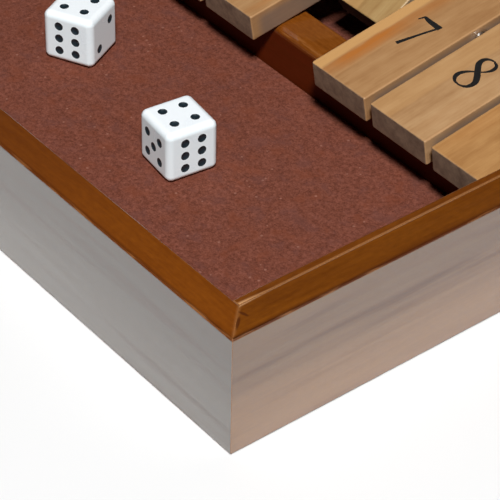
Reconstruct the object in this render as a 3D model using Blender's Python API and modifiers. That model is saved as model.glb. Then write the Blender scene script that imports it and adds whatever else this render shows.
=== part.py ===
"""A shut the box game for one player, in metres, +Z up.

A mitred wooden tray holds a felted floor. Nine numbered tiles hang on one steel rod near
the back, which runs through a thin liner inside each side wall. A playable tile lies forward
on a rail, and a shut one leans back on the back wall.
The front wall faces -Y, and the origin is the middle of the tray's underside.
"""
import math

import bmesh
import bpy
from mathutils import Matrix, Vector

# Walls: one moulding, mitred at the corners
WALL_HEIGHT = 0.0370
WALL_THICKNESS = 0.0095
OUTER_EDGE_RADIUS = 0.0007
INNER_EDGE_RADIUS = 0.0006
MITRE_GAP = 0.0001
REBATE_WIDTH = 0.0045

# Liners: a thin strip inside each side wall, a little lower than its top
LINER_THICKNESS = 0.0024
LINER_BELOW_RIM = 0.0003
LINER_EDGE_RADIUS = 0.0005

# Floor: a panel let into the walls' rebate, with felt on both sides of the rail
PANEL_THICKNESS = 0.0062
FELT_THICKNESS = 0.0011
FELT_MARGIN = 0.0004

# Tiles: rod to the numbered end, and rod to the plain end
TILE_COUNT = 9
TILE_WIDTH = 0.0224
TILE_THICKNESS = 0.0087
TILE_REACH = 0.0426
TILE_TAIL = 0.0144
TILE_EDGE_RADIUS = 0.0006
SHUT_TILES = (6,)

# Rod and the spacers on it
ROD_DIAMETER = 0.0036
ROD_BELOW_RIM = 0.0051
SOCKET_DEPTH = 0.0055
SPACER_DIAMETER = 0.0060
SPACER_LENGTH = 0.0018

# Tray from front to back
PLAY_DEPTH = 0.0960
RAIL_DEPTH = 0.0120
RAIL_HEIGHT = 0.0160
RAIL_FRONT_RADIUS = 0.0030
RAIL_BACK_RADIUS = 0.0008
RAIL_TO_TAIL = 0.0057
TAIL_TO_WALL = 0.0015

# Dice: where each lies in the tray, in shares of its width from the right and of its
# depth from the front, and how far it is turned
DIE_SIZE = 0.0160
DIE_EDGE_RADIUS = 0.0018
PIP_DIAMETER = 0.0027
PIP_DEPTH = 0.0005
DIE_PLACE_SHARES = {"die_1": (0.370, 0.484), "die_2": (0.633, 0.589)}
DIE_TURNS_DEGREES = {"die_1": -6.9, "die_2": 26.4}

# Clearances: between pieces that touch, and round what turns
SEAT_GAP = 0.0003
RUNNING_GAP = 0.0003
CUTTER_OVERRUN = 0.0020

# Smoothness, in segments
EDGE_SEGMENTS = 4
TILE_SEGMENTS = 2
DIE_SEGMENTS = 4
ROUND_SEGMENTS = 24
PIP_SEGMENTS = 12
PIP_RINGS = 8

TILE_GAP = SPACER_LENGTH + 2 * SEAT_GAP
TILE_PITCH = TILE_WIDTH + TILE_GAP
CLEAR_WIDTH = TILE_COUNT * TILE_WIDTH + (TILE_COUNT + 1) * TILE_GAP
INNER_WIDTH = CLEAR_WIDTH + 2 * (LINER_THICKNESS + SEAT_GAP)
WIDTH = INNER_WIDTH + 2 * WALL_THICKNESS

TAIL_SWEEP = math.hypot(TILE_TAIL, TILE_THICKNESS / 2)
INNER_DEPTH = PLAY_DEPTH + RAIL_DEPTH + RAIL_TO_TAIL + 2 * TAIL_SWEEP + TAIL_TO_WALL
DEPTH = INNER_DEPTH + 2 * WALL_THICKNESS

INNER_FRONT = -INNER_DEPTH / 2
INNER_BACK = INNER_DEPTH / 2
INNER_RIGHT = INNER_WIDTH / 2
RAIL_FRONT = INNER_FRONT + PLAY_DEPTH
RAIL_BACK = RAIL_FRONT + RAIL_DEPTH
ROD_Y = RAIL_BACK + RAIL_TO_TAIL + TAIL_SWEEP
ROD_Z = WALL_HEIGHT - ROD_BELOW_RIM

FELT_BOTTOM = PANEL_THICKNESS + SEAT_GAP
FELT_TOP = FELT_BOTTOM + FELT_THICKNESS
RAIL_BOTTOM = PANEL_THICKNESS + SEAT_GAP
RAIL_TOP = RAIL_BOTTOM + RAIL_HEIGHT

ROD_RADIUS = ROD_DIAMETER / 2
BORE_RADIUS = ROD_RADIUS + RUNNING_GAP
ROD_LENGTH = INNER_WIDTH + 2 * (SOCKET_DEPTH - SEAT_GAP)


def playable_tilt():
    """The slope of a playable tile, whose underside lies on the rail's rounded front edge."""
    ahead = ROD_Y - (RAIL_FRONT + RAIL_FRONT_RADIUS)
    below = ROD_Z - (RAIL_TOP - RAIL_FRONT_RADIUS)
    offset = TILE_THICKNESS / 2 + RAIL_FRONT_RADIUS + SEAT_GAP
    return math.acos(offset / math.hypot(ahead, below)) - math.atan2(ahead, below)


def shut_tilt():
    """The slope of a shut tile, which leans back on the back wall's rounded inner edge."""
    behind = INNER_BACK + INNER_EDGE_RADIUS - ROD_Y
    above = WALL_HEIGHT - INNER_EDGE_RADIUS - ROD_Z
    offset = TILE_THICKNESS / 2 + INNER_EDGE_RADIUS + SEAT_GAP
    return math.atan2(above, behind) + math.asin(offset / math.hypot(behind, above))


PLAYABLE_ANGLE = playable_tilt()
SHUT_ANGLE = -(math.pi - shut_tilt())


def clear_scene():
    for thing in list(bpy.data.objects):
        bpy.data.objects.remove(thing, do_unlink=True)


def new_collection(name):
    collection = bpy.data.collections.new(name)
    bpy.context.scene.collection.children.link(collection)
    return collection


def new_material(name, colour, roughness, metallic=0.0):
    material = bpy.data.materials.new(name)
    material.use_nodes = True
    shader = material.node_tree.nodes["Principled BSDF"]
    shader.inputs["Base Color"].default_value = (*colour, 1.0)
    shader.inputs["Roughness"].default_value = roughness
    shader.inputs["Metallic"].default_value = metallic
    return material


def add_object(name, mesh, collection, material=None, place=(0, 0, 0), turn=(0, 0, 0)):
    thing = bpy.data.objects.new(name, mesh)
    thing.location = place
    thing.rotation_euler = turn
    if material and not mesh.materials:
        mesh.materials.append(material)
    collection.objects.link(thing)
    return thing


def mesh_from(name, bm):
    bmesh.ops.recalc_face_normals(bm, faces=bm.faces[:])
    mesh = bpy.data.meshes.new(name)
    bm.to_mesh(mesh)
    bm.free()
    return mesh


def smooth(mesh, sharp_degrees=35):
    mesh.shade_smooth()
    mesh.set_sharp_from_angle(angle=math.radians(sharp_degrees))


def box_mesh(name, size, centre=(0, 0, 0)):
    bm = bmesh.new()
    placed = Matrix.Translation(centre) @ Matrix.Diagonal((*size, 1.0))
    bmesh.ops.create_cube(bm, size=1.0, matrix=placed)
    return mesh_from(name, bm)


def lying_cylinder(name, radius, length, segments=ROUND_SEGMENTS):
    """A cylinder along X, centred on the origin."""
    bm = bmesh.new()
    lying = Matrix.Rotation(math.pi / 2, 4, "Y")
    bmesh.ops.create_cone(
        bm,
        cap_ends=True,
        segments=segments,
        radius1=radius,
        radius2=radius,
        depth=length,
        matrix=lying,
    )
    mesh = mesh_from(name, bm)
    smooth(mesh)
    return mesh


def round_edges(thing, radius, segments):
    bevel = thing.modifiers.new("eased_edges", "BEVEL")
    bevel.width = radius
    bevel.segments = segments
    bevel.limit_method = "ANGLE"
    bevel.harden_normals = False


def cut(thing, cutter):
    boolean = thing.modifiers.new("cut_" + cutter.name, "BOOLEAN")
    boolean.operation = "DIFFERENCE"
    boolean.solver = "EXACT"
    boolean.object = cutter


def hide_cutter(cutter):
    cutter.hide_render = True
    cutter.display_type = "WIRE"
    return cutter


def arc(centre, radius, start_degrees, end_degrees, segments=EDGE_SEGMENTS):
    """Points of a round corner, the two ends included."""
    points = []
    for step in range(segments + 1):
        angle = math.radians(start_degrees + (end_degrees - start_degrees) * step / segments)
        points.append(
            (centre[0] + radius * math.cos(angle), centre[1] + radius * math.sin(angle))
        )
    return points


def extruded(name, outline, length):
    """A flat outline in YZ, drawn out along X and centred on the origin."""
    curve = bpy.data.curves.new(name, "CURVE")
    curve.dimensions = "2D"
    curve.fill_mode = "BOTH"
    curve.extrude = length / 2
    spline = curve.splines.new("POLY")
    spline.points.add(len(outline) - 1)
    for point, (y, z) in zip(spline.points, outline):
        point.co = (y, z, 0.0, 1.0)
    spline.use_cyclic_u = True
    drawn = bpy.data.objects.new(name, curve)
    bpy.context.scene.collection.objects.link(drawn)
    bpy.context.view_layer.update()
    graph = bpy.context.evaluated_depsgraph_get()
    flat = bpy.data.meshes.new_from_object(drawn.evaluated_get(graph))
    bpy.data.objects.remove(drawn, do_unlink=True)
    bpy.data.curves.remove(curve)
    bm = bmesh.new()
    bm.from_mesh(flat)
    bpy.data.meshes.remove(flat)
    bmesh.ops.remove_doubles(bm, verts=bm.verts[:], dist=MITRE_GAP / 10)
    # The curve's X, Y and Z become the part's Y, Z and X
    bm.transform(Matrix(((0, 0, 1, 0), (1, 0, 0, 0), (0, 1, 0, 0), (0, 0, 0, 1))))
    return bm


def wall_outline():
    """The moulding's section: Y runs from its outer face, at zero, to its inner face."""
    rebate_height = PANEL_THICKNESS + SEAT_GAP
    outer = arc(
        (OUTER_EDGE_RADIUS, WALL_HEIGHT - OUTER_EDGE_RADIUS), OUTER_EDGE_RADIUS, 180, 90
    )
    inner = arc(
        (WALL_THICKNESS - INNER_EDGE_RADIUS, WALL_HEIGHT - INNER_EDGE_RADIUS),
        INNER_EDGE_RADIUS,
        90,
        0,
    )
    foot = [
        (WALL_THICKNESS, rebate_height),
        (WALL_THICKNESS - REBATE_WIDTH, rebate_height),
        (WALL_THICKNESS - REBATE_WIDTH, 0),
    ]
    outer_foot = arc((OUTER_EDGE_RADIUS, OUTER_EDGE_RADIUS), OUTER_EDGE_RADIUS, 270, 180)
    return outer + inner + foot + outer_foot


def mitre(bm, end_x, side):
    """Cuts one end at 45 degrees, so that the wall gets shorter towards its inner face."""
    facing = Vector((side, 1, 0)).normalized()
    corner = Vector((side * end_x, 0, 0)) - facing * MITRE_GAP / 2
    everything = bm.verts[:] + bm.edges[:] + bm.faces[:]
    made = bmesh.ops.bisect_plane(
        bm, geom=everything, plane_co=corner, plane_no=facing, clear_outer=True
    )
    rim = [part for part in made["geom_cut"] if isinstance(part, bmesh.types.BMEdge)]
    bmesh.ops.edgeloop_fill(bm, edges=rim)


def make_wall(name, length, place, turn, wood, parts):
    bm = extruded(name, wall_outline(), length + 2 * CUTTER_OVERRUN)
    mitre(bm, length / 2, 1)
    mitre(bm, length / 2, -1)
    mesh = mesh_from(name, bm)
    smooth(mesh)
    return add_object(name, mesh, parts, wood, place, (0, 0, turn))


def make_walls(wood, parts, socket_cutter):
    make_wall("front_wall", WIDTH, (0, -DEPTH / 2, 0), 0, wood, parts)
    make_wall("back_wall", WIDTH, (0, DEPTH / 2, 0), math.pi, wood, parts)
    right = make_wall("right_wall", DEPTH, (WIDTH / 2, 0, 0), math.pi / 2, wood, parts)
    left = make_wall("left_wall", DEPTH, (-WIDTH / 2, 0, 0), -math.pi / 2, wood, parts)
    cut(right, socket_cutter)
    cut(left, socket_cutter)


def liner_outline():
    """A liner's section, in the same Y and Z as the section of the wall that it lines."""
    glued = WALL_THICKNESS + SEAT_GAP
    inner = glued + LINER_THICKNESS
    foot = PANEL_THICKNESS + SEAT_GAP
    top = WALL_HEIGHT - LINER_BELOW_RIM
    eased = arc(
        (inner - LINER_EDGE_RADIUS, top - LINER_EDGE_RADIUS), LINER_EDGE_RADIUS, 90, 0
    )
    return [(glued, foot), (glued, top)] + eased + [(inner, foot)]


def make_liners(wood, parts, socket_cutter):
    """They stand on the panel, from the front wall to the back wall, and the rod runs through."""
    for name, x, turn in (
        ("left_liner", -WIDTH / 2, -math.pi / 2),
        ("right_liner", WIDTH / 2, math.pi / 2),
    ):
        bm = extruded(name, liner_outline(), INNER_DEPTH - 2 * SEAT_GAP)
        mesh = mesh_from(name, bm)
        smooth(mesh)
        liner = add_object(name, mesh, parts, wood, (x, 0, 0), (0, 0, turn))
        cut(liner, socket_cutter)


def make_floor(board, felt, parts):
    under_walls = REBATE_WIDTH - SEAT_GAP
    panel_size = (
        INNER_WIDTH + 2 * under_walls,
        INNER_DEPTH + 2 * under_walls,
        PANEL_THICKNESS,
    )
    panel = box_mesh("base_panel", panel_size, (0, 0, PANEL_THICKNESS / 2))
    add_object("base_panel", panel, parts, board)
    felt_width = CLEAR_WIDTH - 2 * FELT_MARGIN
    for name, front, back in (
        ("play_felt", INNER_FRONT, RAIL_FRONT),
        ("rear_felt", RAIL_BACK, INNER_BACK),
    ):
        size = (felt_width, back - front - 2 * FELT_MARGIN, FELT_THICKNESS)
        centre = (0, (front + back) / 2, FELT_BOTTOM + FELT_THICKNESS / 2)
        add_object(name, box_mesh(name, size, centre), parts, felt)


def make_rail(wood, parts):
    """The strip across the tray that the playable tiles lie on."""
    front = arc(
        (RAIL_FRONT + RAIL_FRONT_RADIUS, RAIL_TOP - RAIL_FRONT_RADIUS),
        RAIL_FRONT_RADIUS,
        180,
        90,
        2 * EDGE_SEGMENTS,
    )
    back = arc(
        (RAIL_BACK - RAIL_BACK_RADIUS, RAIL_TOP - RAIL_BACK_RADIUS), RAIL_BACK_RADIUS, 90, 0
    )
    foot = [(RAIL_BACK, RAIL_BOTTOM), (RAIL_FRONT, RAIL_BOTTOM)]
    bm = extruded("tile_rail", front + back + foot, CLEAR_WIDTH - 2 * SEAT_GAP)
    mesh = mesh_from("tile_rail", bm)
    smooth(mesh)
    add_object("tile_rail", mesh, parts, wood)


def make_rod(steel, parts):
    rod = lying_cylinder("tile_rod", ROD_RADIUS, ROD_LENGTH)
    add_object("tile_rod", rod, parts, steel, (0, ROD_Y, ROD_Z))


def spacer_mesh():
    """A ring on the X axis: its section, turned a full circle."""
    bore = ROD_RADIUS + SEAT_GAP
    outer = SPACER_DIAMETER / 2
    end = SPACER_LENGTH / 2
    bm = bmesh.new()
    corners = ((-end, outer), (end, outer), (end, bore), (-end, bore))
    section = bm.faces.new([bm.verts.new((x, 0, z)) for x, z in corners])
    rim = section.edges[:]
    bmesh.ops.delete(bm, geom=[section], context="FACES_ONLY")
    bmesh.ops.spin(
        bm,
        geom=rim,
        axis=(1, 0, 0),
        cent=(0, 0, 0),
        angle=2 * math.pi,
        steps=ROUND_SEGMENTS,
        use_merge=True,
    )
    bmesh.ops.remove_doubles(bm, verts=bm.verts[:], dist=MITRE_GAP / 10)
    mesh = mesh_from("rod_spacer", bm)
    smooth(mesh)
    return mesh


def tile_x(number):
    """The middle of a tile. Number 1 is at the left end, from the player's side."""
    return (number - (TILE_COUNT + 1) / 2) * TILE_PITCH


def make_spacers(steel, parts):
    """One ring in each gap between tiles, and one between each end of the row and its liner."""
    ring = spacer_mesh()
    for number in range(1, TILE_COUNT):
        place = (tile_x(number) + TILE_PITCH / 2, ROD_Y, ROD_Z)
        add_object(f"tile_spacer_{number}", ring, parts, steel, place)
    end_x = (CLEAR_WIDTH - TILE_GAP) / 2
    for name, x in (("left_end_spacer", -end_x), ("right_end_spacer", end_x)):
        add_object(name, ring, parts, steel, (x, ROD_Y, ROD_Z))


def make_tiles(wood, parts, bore_cutter):
    """Each tile turns about its own origin, which is on the rod."""
    size = (TILE_WIDTH, TILE_REACH + TILE_TAIL, TILE_THICKNESS)
    slab = box_mesh("tile", size, (0, (TILE_TAIL - TILE_REACH) / 2, 0))
    slab.materials.append(wood)
    for number in range(1, TILE_COUNT + 1):
        angle = SHUT_ANGLE if number in SHUT_TILES else PLAYABLE_ANGLE
        place = (tile_x(number), ROD_Y, ROD_Z)
        tile = add_object(f"tile_{number}", slab, parts, wood, place, (angle, 0, 0))
        round_edges(tile, TILE_EDGE_RADIUS, TILE_SEGMENTS)
        cut(tile, bore_cutter)


# Where the pips of each face lie, in shares of the die's size from the face's middle
WIDE_SHARE = 0.203
ROW_SHARE = 0.256
COLUMN_SHARE = 0.165
CENTRE_PIP_SHARES = [(0, 0)]
TWO_PIP_SHARES = [(-WIDE_SHARE, WIDE_SHARE), (WIDE_SHARE, -WIDE_SHARE)]
FOUR_PIP_SHARES = TWO_PIP_SHARES + [(-WIDE_SHARE, -WIDE_SHARE), (WIDE_SHARE, WIDE_SHARE)]
SIX_PIP_SHARES = [
    (side * COLUMN_SHARE, row * ROW_SHARE) for side in (-1, 1) for row in (-1, 0, 1)
]
FACE_PIP_SHARES = {
    1: CENTRE_PIP_SHARES,
    2: TWO_PIP_SHARES,
    3: CENTRE_PIP_SHARES + TWO_PIP_SHARES,
    4: FOUR_PIP_SHARES,
    5: CENTRE_PIP_SHARES + FOUR_PIP_SHARES,
    6: SIX_PIP_SHARES,
}
# Each face's outward direction and its upward direction on the face, as they lie in the tray
DIE_FACES = {
    "die_1": {
        4: ((0, 0, 1), (0, 1, 0)),
        3: ((0, 0, -1), (0, 1, 0)),
        5: ((0, -1, 0), (0, 0, 1)),
        2: ((0, 1, 0), (0, 0, 1)),
        6: ((1, 0, 0), (0, 0, 1)),
        1: ((-1, 0, 0), (0, 0, 1)),
    },
    "die_2": {
        4: ((0, 0, 1), (0, 1, 0)),
        3: ((0, 0, -1), (0, 1, 0)),
        6: ((0, -1, 0), (0, 0, 1)),
        1: ((0, 1, 0), (0, 0, 1)),
        2: ((1, 0, 0), (0, 1, 0)),
        5: ((-1, 0, 0), (0, 0, 1)),
    },
}


def pip_cutter_mesh(name, faces):
    """One ball for each pip, sunk so far that it leaves a shallow round hollow."""
    mouth = PIP_DIAMETER / 2
    ball = (mouth * mouth + PIP_DEPTH * PIP_DEPTH) / (2 * PIP_DEPTH)
    bm = bmesh.new()
    for value, (outward, upward) in faces.items():
        out = Vector(outward)
        up = Vector(upward)
        across = up.cross(out)
        lie = Matrix((across, up, out)).transposed().to_4x4()
        for across_share, up_share in FACE_PIP_SHARES[value]:
            centre = out * (DIE_SIZE / 2 + ball - PIP_DEPTH)
            centre += (across * across_share + up * up_share) * DIE_SIZE
            bmesh.ops.create_uvsphere(
                bm,
                u_segments=PIP_SEGMENTS,
                v_segments=PIP_RINGS,
                radius=ball,
                matrix=Matrix.Translation(centre) @ lie,
            )
    return mesh_from(name, bm)


def make_dice(plastic, parts, cutters):
    for name, (width_share, depth_share) in DIE_PLACE_SHARES.items():
        place = (
            INNER_RIGHT - width_share * INNER_WIDTH,
            INNER_FRONT + depth_share * PLAY_DEPTH,
            FELT_TOP + SEAT_GAP + DIE_SIZE / 2,
        )
        turn = (0, 0, math.radians(DIE_TURNS_DEGREES[name]))
        cube = box_mesh(name, (DIE_SIZE, DIE_SIZE, DIE_SIZE))
        die = add_object(name, cube, parts, plastic, place, turn)
        round_edges(die, DIE_EDGE_RADIUS, DIE_SEGMENTS)
        pips = pip_cutter_mesh(name + "_pips", DIE_FACES[name])
        cutter = add_object(name + "_pips", pips, cutters, None, place, turn)
        cut(die, hide_cutter(cutter))


def rod_cutter(name, radius, length, cutters):
    mesh = lying_cylinder(name, radius, length)
    return hide_cutter(add_object(name, mesh, cutters, None, (0, ROD_Y, ROD_Z)))


def main():
    clear_scene()
    parts = new_collection("shut_the_box_game")
    cutters = new_collection("cutters")
    stained_wood = new_material("stained_wood", (0.19, 0.055, 0.012), 0.3)
    tile_wood = new_material("tile_wood", (0.48, 0.26, 0.10), 0.45)
    board = new_material("base_board", (0.30, 0.20, 0.12), 0.7)
    felt = new_material("felt", (0.17, 0.052, 0.032), 0.95)
    steel = new_material("steel", (0.60, 0.60, 0.58), 0.3, 1.0)
    plastic = new_material("dice_plastic", (0.85, 0.86, 0.88), 0.25)
    socket_length = INNER_WIDTH + 2 * SOCKET_DEPTH
    socket_cutter = rod_cutter("rod_sockets", BORE_RADIUS, socket_length, cutters)
    bore_cutter = rod_cutter("tile_bore", BORE_RADIUS, INNER_WIDTH, cutters)
    make_walls(stained_wood, parts, socket_cutter)
    make_liners(stained_wood, parts, socket_cutter)
    make_floor(board, felt, parts)
    make_rail(stained_wood, parts)
    make_rod(steel, parts)
    make_spacers(steel, parts)
    make_tiles(tile_wood, parts, bore_cutter)
    make_dice(plastic, parts, cutters)


main()
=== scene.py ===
import math
from collections import namedtuple

import bmesh
import bpy
from mathutils import Euler, Matrix, Vector, noise


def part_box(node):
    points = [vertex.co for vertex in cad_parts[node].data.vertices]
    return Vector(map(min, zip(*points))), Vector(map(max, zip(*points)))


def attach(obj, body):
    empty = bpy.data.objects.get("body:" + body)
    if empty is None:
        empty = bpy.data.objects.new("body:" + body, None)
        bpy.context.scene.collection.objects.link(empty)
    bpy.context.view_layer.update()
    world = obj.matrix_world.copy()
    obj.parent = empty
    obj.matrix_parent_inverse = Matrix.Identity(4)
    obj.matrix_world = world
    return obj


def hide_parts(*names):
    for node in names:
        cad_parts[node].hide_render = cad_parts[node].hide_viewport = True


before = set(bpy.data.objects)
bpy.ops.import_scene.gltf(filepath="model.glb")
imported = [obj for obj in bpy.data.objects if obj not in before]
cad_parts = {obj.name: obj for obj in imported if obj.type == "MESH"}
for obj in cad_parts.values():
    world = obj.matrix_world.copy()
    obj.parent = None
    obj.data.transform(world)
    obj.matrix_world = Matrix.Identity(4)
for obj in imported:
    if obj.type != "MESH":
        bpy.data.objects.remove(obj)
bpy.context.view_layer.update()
MM = 0.001

# The tile row, as the frame holds it
TILE_NUMBERS = range(1, 10)
SHUT_TILE = 6
ROD_LOW, ROD_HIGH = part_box("tile_rod")
ROD_CENTRE = (ROD_LOW + ROD_HIGH) / 2
TILE_THICKNESS = 8.7 * MM
TILE_REACH = 42.6 * MM
PLAYABLE_TILT = math.radians(8.8985)
SHUT_TILT = math.radians(31.9396 - 180)

# The printed numbers: height, and how far their middle lies from the rod
NUMERAL_HEIGHT = 13.9 * MM
NUMERAL_FROM_ROD = 14.1 * MM
INK_PROUD = 0.02 * MM
INK_SUNK = 0.04 * MM

# The dice
DIE_SIZE = 16 * MM
DIE_EDGE_RADIUS = 2.0 * MM
PIP_DIAMETER = 2.7 * MM
PIP_DEPTH = 0.5 * MM
DIE_TURNS = {"die_1": math.radians(-6.9), "die_2": math.radians(26.4)}
DIE_BODIES = {"die_1": "first_die", "die_2": "second_die"}

# Felt
FELT_GRID = 1.0 * MM
FELT_WAVE = 0.05 * MM
FELT_WAVE_LENGTH = 3.0 * MM

MERGE_DISTANCE = 0.000002
SHARP_ANGLE = math.radians(35)


# Shader helpers

def feed(tree, target, inputs):
    """Gives a node's inputs their values, or the output sockets that feed them."""
    for key, value in inputs.items():
        if isinstance(value, bpy.types.NodeSocket):
            tree.links.new(value, target.inputs[key])
        else:
            target.inputs[key].default_value = value


def node(tree, kind, inputs=None, **settings):
    """Adds a node, with its settings first, because these can change its inputs."""
    made = tree.nodes.new(kind)
    for name, value in settings.items():
        setattr(made, name, value)
    feed(tree, made, inputs or {})
    return made


def maths(tree, operation, *values, clamp=False):
    inputs = dict(enumerate(values))
    return node(tree, "ShaderNodeMath", inputs, operation=operation, use_clamp=clamp).outputs[0]


def times(tree, first, *others):
    """The product of all the values."""
    for other in others:
        first = maths(tree, "MULTIPLY", first, other)
    return first


def times_plus(tree, value, factor, added):
    return maths(tree, "MULTIPLY_ADD", value, factor, added)


def weighted_sum(tree, *terms):
    """The sum of the terms, each of which is a value and its weight."""
    total = 0.0
    for value, weight in terms:
        total = times_plus(tree, value, weight, total)
    return total


def vector_maths(tree, operation, *values, result="Vector"):
    inputs = dict(enumerate(values))
    return node(tree, "ShaderNodeVectorMath", inputs, operation=operation).outputs[result]


def object_place(tree):
    return node(tree, "ShaderNodeTexCoord").outputs["Object"]


def parts_of(tree, vector):
    """The X, Y and Z of a vector."""
    return node(tree, "ShaderNodeSeparateXYZ", {0: vector}).outputs


def step_between(tree, value, low, high):
    """0 below low, 1 above high and a smooth step between them."""
    inputs = {"Value": value, "From Min": low, "From Max": high}
    return node(tree, "ShaderNodeMapRange", inputs, interpolation_type="SMOOTHSTEP").outputs[0]


def opaque(colour):
    """A plain colour with its alpha. A socket that gives a colour stays as it is."""
    return colour if isinstance(colour, bpy.types.NodeSocket) else (*colour, 1.0)


def blend_colours(tree, factor, first, second, kind="MIX"):
    inputs = {0: factor, 6: opaque(first), 7: opaque(second)}
    return node(tree, "ShaderNodeMix", inputs, data_type="RGBA", blend_type=kind).outputs[2]


def colour_ramp(tree, factor, stops):
    made = node(tree, "ShaderNodeValToRGB", {0: factor})
    elements = made.color_ramp.elements
    while len(elements) < len(stops):
        elements.new(1.0)
    for element, (place, colour) in zip(elements, stops):
        element.position = place
        element.color = opaque(colour)
    return made.outputs[0]


def noise_value(tree, vector, scale=1.0, detail=2.0, roughness=0.5):
    inputs = {"Vector": vector, "Scale": scale, "Detail": detail, "Roughness": roughness}
    return node(tree, "ShaderNodeTexNoise", inputs).outputs[0]


def stretched(tree, vector, factors):
    return vector_maths(tree, "MULTIPLY", vector, factors)


def grain_noise(tree, place, along, across, detail=2.0, roughness=0.5):
    """Noise that is drawn out along X: its scale along the grain, and across it."""
    return noise_value(tree, stretched(tree, place, (along, across, across)), 1.0, detail, roughness)


def new_group(name, inputs, outputs):
    """A shader node group with named sockets: each input is a name, a socket type and a value."""
    tree = bpy.data.node_groups.new(name, "ShaderNodeTree")
    for label, kind, value in inputs:
        socket = tree.interface.new_socket(label, in_out="INPUT", socket_type=kind)
        if value is not None:
            socket.default_value = value
    for label in outputs:
        tree.interface.new_socket(label, in_out="OUTPUT", socket_type="NodeSocketFloat")
    return tree, tree.nodes.new("NodeGroupInput").outputs, tree.nodes.new("NodeGroupOutput")


def use_group(tree, group, inputs):
    return node(tree, "ShaderNodeGroup", inputs, node_tree=group).outputs


# Effects that several materials share

def wood_grain_group():
    """Growth rings, fibres, pores and broad patches of a board whose grain runs along X."""
    tree, given, result = new_group(
        "wood_grain",
        (
            ("Vector", "NodeSocketVector", None),
            ("Ring Width", "NodeSocketFloat", 2.2 * MM),
            ("Wander", "NodeSocketFloat", 3.0 * MM),
        ),
        ("Rings", "Fibres", "Pores", "Patches"),
    )
    vector = given["Vector"]
    slow = stretched(tree, vector, (9.0, 60.0, 60.0))
    wandering = node(tree, "ShaderNodeTexNoise", {"Vector": slow, "Scale": 1.0, "Detail": 2.0})
    centred = vector_maths(tree, "SUBTRACT", wandering.outputs["Color"], (0.5, 0.5, 0.5))
    inputs = {0: centred, "Scale": given["Wander"]}
    moved = node(tree, "ShaderNodeVectorMath", inputs, operation="SCALE").outputs[0]
    bent = vector_maths(tree, "ADD", vector, moved)
    # The rings are long tubes around X, each darkening slowly and ending sharply
    radius = vector_maths(tree, "LENGTH", stretched(tree, bent, (0.02, 1.0, 1.0)), result="Value")
    phase = maths(tree, "FRACT", maths(tree, "DIVIDE", radius, given["Ring Width"]))
    rise = step_between(tree, phase, 0.25, 0.92)
    fall = step_between(tree, phase, 1.0, 0.93)
    fine = grain_noise(tree, vector, along=150.0, across=3000.0, detail=1.0)
    effects = {
        "Rings": times(tree, rise, fall),
        "Fibres": grain_noise(tree, vector, along=36.0, across=1300.0, detail=3.0),
        "Pores": step_between(tree, fine, 0.60, 0.72),
        "Patches": grain_noise(tree, vector, along=22.0, across=110.0),
    }
    feed(tree, result, effects)
    return tree


def rounded_edge_group():
    """1 where a surface turns between two of the piece's own axes, and 0 on its flat faces."""
    tree, given, result = new_group("rounded_edge", (("Normal", "NodeSocketVector", None),), ("Edge",))
    parts = parts_of(tree, vector_maths(tree, "ABSOLUTE", given["Normal"]))
    most = maths(tree, "MAXIMUM", maths(tree, "MAXIMUM", parts[0], parts[1]), parts[2])
    feed(tree, result, {"Edge": step_between(tree, most, 0.995, 0.85)})
    return tree


def specks_group():
    """Scattered small dots, such as dust or lint: one in each cell at most."""
    tree, given, result = new_group(
        "specks",
        (
            ("Vector", "NodeSocketVector", None),
            ("Per Metre", "NodeSocketFloat", 90.0),
            ("Size", "NodeSocketFloat", 0.02),
            ("Share", "NodeSocketFloat", 0.5),
        ),
        ("Specks",),
    )
    inputs = {"Vector": given["Vector"], "Scale": given["Per Metre"]}
    cells = node(tree, "ShaderNodeTexVoronoi", inputs).outputs
    dot = maths(tree, "LESS_THAN", cells["Distance"], given["Size"])
    draw = node(tree, "ShaderNodeSeparateColor", {0: cells["Color"]}).outputs[0]
    kept = maths(tree, "LESS_THAN", draw, given["Share"])
    feed(tree, result, {"Specks": times(tree, dot, kept)})
    return tree


WOOD_GRAIN = wood_grain_group()
ROUNDED_EDGE = rounded_edge_group()
SPECKS = specks_group()


def new_material(name):
    material = bpy.data.materials.new(name)
    material.use_nodes = True
    tree = material.node_tree
    return material, tree, tree.nodes["Principled BSDF"]


def board_axes(tree, turn, centre, heart):
    """Object coordinates and normals turned so that X runs along the board's grain."""
    coordinates = node(tree, "ShaderNodeTexCoord").outputs
    moved = Vector(heart) - Euler(turn).to_matrix() @ Vector(centre)
    inputs = {"Vector": coordinates["Object"], "Location": moved, "Rotation": turn}
    place = node(tree, "ShaderNodeMapping", inputs)
    inputs = {"Vector": coordinates["Normal"], "Rotation": turn}
    facing = node(tree, "ShaderNodeMapping", inputs, vector_type="NORMAL")
    return place.outputs[0], facing.outputs[0]


def add_bump(tree, shader, height, strength, distance):
    bump = node(tree, "ShaderNodeBump", {"Height": height, "Strength": strength, "Distance": distance})
    tree.links.new(bump.outputs[0], shader.inputs["Normal"])


# Materials

# The stain's own range, the stain rubbed thin, which on rounded edges is also a painted highlight,
# the stain at its deepest, a pale painted highlight beside the seams, and dust
STAIN_DARK = (0.150, 0.036, 0.0020)
STAIN_MIDDLE = (0.205, 0.054, 0.0040)
STAIN_LIGHT = (0.260, 0.074, 0.0075)
RUBBED_STAIN_AND_HIGHLIGHT = (0.36, 0.15, 0.045)
STAIN_DEEP = (0.070, 0.014, 0.0015)
SEAM_HIGHLIGHT_PALE = (0.80, 0.44, 0.20)
DUST = (0.72, 0.62, 0.52)
# How strong each mark on the stain is: the streaks on upright faces, the darkening of the
# front wall's top towards the left and the distance from its right end where it starts, the
# rub along the mitres, the rub and painted highlight on rounded edges, and the saw marks
STREAK_STAIN = 0.75
LEFT_DARKER = 0.36
LEFT_DARKER_FROM = 25 * MM
MITRE_RUB = 0.35
EDGE_RUB_AND_HIGHLIGHT = 0.40
SAW_MARK_STAIN = 0.8
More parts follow.
